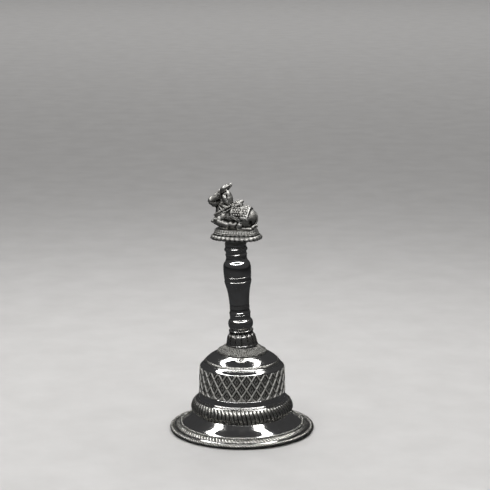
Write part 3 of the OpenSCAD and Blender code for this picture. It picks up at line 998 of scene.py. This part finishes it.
def bull_relief(points):
    """How far each point of the bull is lifted along its normal, in millimetres."""
    x, y, z = points.T
    inside = np.minimum(np.minimum(x - CLOTH_FRONT, CLOTH_BACK - x), (z - cloth_edge(x)) * 0.9)
    inside = np.where(z > 11.6, -1, inside)
    around = np.arctan2(np.abs(y), z - 5.0) * 5.0
    row = np.round(around / 1.15)
    cell = (1 - (2 * saw(x / 1.2 + 0.5 * (row % 2))) ** 2) * (1 - (2 * saw(around / 1.15)) ** 2)
    step = np.abs(x - CLOTH_STEP)
    border = np.maximum(smoothstep(0.5, 0.3, np.abs(inside - 0.35)), smoothstep(0.45, 0.25, step))
    lift = smoothstep(-0.06, 0.06, inside) * (0.22 + 0.22 * np.maximum(border, cell ** 0.8))
    # folds of the neck, fanning from the throat
    fan = np.arctan2(z - 12.5, x + 9.5)
    neck = smoothstep(-8.8, -7.2, x) * smoothstep(-2.4, -3.4, x) * smoothstep(7.5, 8.6, z)
    neck = neck * smoothstep(13.0, 11.8, z)
    lift += 0.1 * neck * np.cos(fan * 17)
    # hollows behind the thigh, behind the foreleg, of the nostrils, eye sockets and ears, and
    # the eyes
    for side in (-1, 1):
        lift -= 0.45 * near(points, (8.5, 4.1 * side, 3.7), (1.5, 2.0, 2.3))
        lift -= 0.25 * near(points, (0.4, 5.2 * side, 3.6), (1.6, 2.0, 1.4))
        lift -= 0.4 * near(points, (-12.5, 0.95 * side, 13.3), (0.5, 0.5, 0.45))
        lift -= 0.35 * near(points, (-7.6, 2.3 * side, 15.0), (1.2, 1.2, 0.95))
        lift += 0.55 * near(points, (-7.6, 2.3 * side, 15.0), (0.75, 1.0, 0.55))
        lift -= 0.3 * near(points, (-3.1, 3.9 * side, 13.9), (0.6, 1.0, 1.9))
    mouth_z = 11.75 + 0.16 * (x + 12.4)
    lift -= 0.3 * smoothstep(0.3, 0.05, np.abs(z - mouth_z)) * smoothstep(-9.2, -9.8, x)
    return lift


# The bull is made in two skins, and its relief value is high where the last skin stands proud
# of a softened one, low in its fine recesses, where oxide lies, and low in its broad hollows
# between parts, which is painted shade.
body_points, body_quads = skin(body_parts(), 0.26)
body_points = relaxed(body_points, body_quads, 7)
bull_points, bull_quads = skin([(body_points, body_quads.tolist())] + sharp_parts(), 0.165)
bull_points = relaxed(bull_points, bull_quads, 2)
bull_normals = point_normals(bull_points, bull_quads)
bull_points = bull_points + bull_normals * bull_relief(bull_points)[:, None]
bull_points = relaxed(bull_points, bull_quads, 1, 0.35)
bull_points[:, 2] = np.maximum(bull_points[:, 2], -0.25)
soft = relaxed(bull_points, bull_quads, 14)
bull_normals = point_normals(soft, bull_quads)
proud = np.einsum("ij,ij->i", bull_points - soft, bull_normals)
# Broad hollows, between legs, belly and neck, found against a much softer skin: painted shade.
broad = relaxed(soft, bull_quads, 60)
painted_hollow_shade = np.einsum("ij,ij->i", soft - broad, point_normals(broad, bull_quads))
bull = object_from("bull_casting", bull_points, bull_quads.tolist(), CAST,
                   np.clip(0.5 + proud / 0.12 + painted_hollow_shade / 0.45, 0, 1), ON_SLAB)
on_bell(bull, "bull", slot="cast_silver")
hide = BVHTree.FromPolygons([Vector(p) for p in bull_points], bull_quads.tolist())

slab_cols = SLAB_LEAVES * 12
verts, values = oval_moulding(slab_rows, slab_lift, slab_cols)
verts += (0, 0, PLINTH_S + PLINTH_H)
on_bell(object_from("bull_slab", verts, grid_faces(len(slab_rows), slab_cols, True), CAST, values,
                    ON_FINIAL), slot="cast_silver")


def outward(origin, direction):
    """Point and normal where a ray from inside the bull leaves it."""
    hit, normal, _, _ = hide.ray_cast(Vector(origin), Vector(direction))
    return np.array(hit), np.array(normal)


def even(points, pitch, closed):
    """The same line with its points spaced evenly, about pitch apart."""
    line = np.concatenate([points, points[:1]]) if closed else np.array(points)
    run = np.concatenate([[0], np.cumsum(np.linalg.norm(np.diff(line, axis=0), axis=1))])
    n = max(3, int(round(run[-1] / pitch)))
    at = np.linspace(0, run[-1], n + (0 if closed else 1), endpoint=not closed)
    return np.stack([np.interp(at, run, line[:, k]) for k in range(3)], 1)


def loop_round(front, back, pitch, reach=math.inf):
    """Evenly spaced points on the hide, in the plane through two points and the cross axis.

    A point further than reach past the middle, towards back, is drawn in to that distance.
    """
    front, back = np.array(front, float), np.array(back, float)
    middle = (front + back) / 2
    along = (back - front) / np.linalg.norm(back - front)
    found = []
    for t in np.arange(72) * TAU / 72:
        hit, normal = outward(middle, along * math.cos(t) + np.array([0, math.sin(t), 0]))
        over = max(0.0, float(np.dot(hit - middle, along)) - reach)
        found.append(hit + normal * 0.12 - along * over)
    found = np.array(found)
    found = (np.roll(found, 1, 0) + found + np.roll(found, -1, 0)) / 3
    return even(found, pitch, True)


def round_beads(points, radius):
    """Small balls at the points, as parts."""
    return [blob(p, (radius,) * 3) for p in points]


def trapping(name, parts):
    """One piece of the bull's dress, from several parts."""
    verts, faces = merged(parts)
    on_bell(object_from(name, verts, faces, CAST, np.full(len(verts), 0.8), ON_SLAB),
            slot="cast_silver")


def cloth_line(xs, drop):
    """Points on the hide along the cloth's lower edge, on the near side and then the far side."""
    lines = []
    for side in (-1, 1):
        line = []
        for x in xs:
            hit, normal = outward([x, 0, float(cloth_edge(np.array(x))) - drop], [0, side, 0])
            line.append(hit + normal * 0.1)
        lines.append(np.array(line))
    return lines


collar = round_beads(loop_round([-9.7, 0, 6.3], [-1.4, 0, 11.2], 1.0), 0.5)
collar.append(tube_mesh(loop_round([-9.9, 0, 4.9], [-0.7, 0, 9.9], 0.5), 0.26, 10, True))
headstall = [tube_mesh(loop_round([-9.6, 0, 15.3], [-9.0, 0, 10.3], 0.4, 2.4), 0.2, 8, True)]
headstall.append(tube_mesh(loop_round([-6.9, 0, 17.3], [-5.8, 0, 11.2], 0.4, 2.6), 0.22, 8, True))
brow_xs = np.linspace(-10.6, -6.6, 6)
headstall += round_beads([outward([x, 0, 13.6], [0, 0, 1])[0] for x in brow_xs], 0.3)
chest = loop_round([-10.4, 0, 3.4], [-1.2, 0, 8.6], 1.9)
chest_bells = [p for p in chest if p[0] < -8.0]
bells = round_beads([p + (-0.25, 0, -0.1) for p in chest_bells], 0.85)
fringe = []
for line in cloth_line(np.linspace(CLOTH_FRONT, CLOTH_STEP - 0.1, 12), 0.35):
    fringe += round_beads(even(line, 0.72, False), 0.36)
for line in cloth_line(np.linspace(CLOTH_STEP + 0.4, CLOTH_BACK, 8), 0.1):
    fringe += round_beads(even(line, 0.62, False), 0.28)
trapping("bull_collar", collar)
trapping("bull_headstall", headstall)
trapping("bull_chest_bells", bells)
trapping("bull_cloth_fringe", fringe)


# ---------------------------------------------------------------- hanger and clapper

for node in ("tie_rod", "crown_washer", "eye_nut"):
    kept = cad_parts[node].data
    kept.materials.clear()
    kept.materials.append(STEEL)

LINK_LO, LINK_HI = box_mm("clapper_link")
SHANK_LO, SHANK_HI = box_mm("clapper_shank")
BALL_LO, BALL_HI = box_mm("clapper_ball")
HANG_X = (LINK_LO.x + LINK_HI.x) / 2
LINK_WIRE = (LINK_HI.x - LINK_LO.x) / 2
LINK_R = (LINK_HI.y - LINK_LO.y) / 2 - LINK_WIRE
SHANK_WIRE = 0.7
SHANK_EYE_R = (SHANK_HI.x - SHANK_LO.x) / 2 - SHANK_WIRE
SHANK_R = 1.1
BALL_R = (BALL_HI.y - BALL_LO.y) / 2
BALL_Z = (BALL_LO.z + BALL_HI.z) / 2
ON_HANGER = Matrix.Translation((HANG_X, 0, 0))


def on_clapper(piece, body, node):
    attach(piece, body)
    if node:
        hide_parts(node)


top, bottom = LINK_HI.z - LINK_WIRE - LINK_R, LINK_LO.z + LINK_WIRE + LINK_R
link = arc((0, top), LINK_R, 0, 180, 24) + arc((0, bottom), LINK_R, 180, 360, 24)
link = even([[HANG_X, y, z] for y, z in link], 0.3, True)
on_clapper(wire_loop("link_wire", link, LINK_WIRE), "link", "clapper_link")

eye_z = SHANK_HI.z - SHANK_WIRE - SHANK_EYE_R
eye = [[HANG_X + x, 0, z] for x, z in arc((0, eye_z), SHANK_EYE_R, 0, 350, 35)]
on_clapper(wire_loop("shank_eye", eye, SHANK_WIRE), "clapper", None)
shank_top = eye_z - SHANK_EYE_R
low = SHANK_LO.z
shank = [[0.01, low + 0.05], [SHANK_R + 0.1, low], [SHANK_R + 0.35, low + 0.3], [SHANK_R, low + 0.7],
         [SHANK_R, shank_top - 1.6]]
shank += bezier(shank[-1], [SHANK_R, shank_top - 0.4], [SHANK_R * 0.7, shank_top + 0.1], 6)
shank += [[0.01, shank_top + 0.1]]
on_clapper(revolve("shank_rod", resample(shank, 0.3), 48, STEEL, ON_HANGER),
           "clapper", "clapper_shank")
knob = arc((0, BALL_Z), BALL_R, -79, -8, 24)
knob += [[BALL_R * 0.985, BALL_Z - 0.5], [BALL_R * 0.985, BALL_Z + 0.5]]
knob += arc((0, BALL_Z), BALL_R, 8, 79, 24)
knob += [[SHANK_R + 0.02, BALL_Z + BALL_R * 0.98], [SHANK_R + 0.02, BALL_Z - BALL_R * 0.98]]
on_clapper(revolve("striker_ball", knob, 96, STEEL, ON_HANGER, 0.8), "clapper", "clapper_ball")
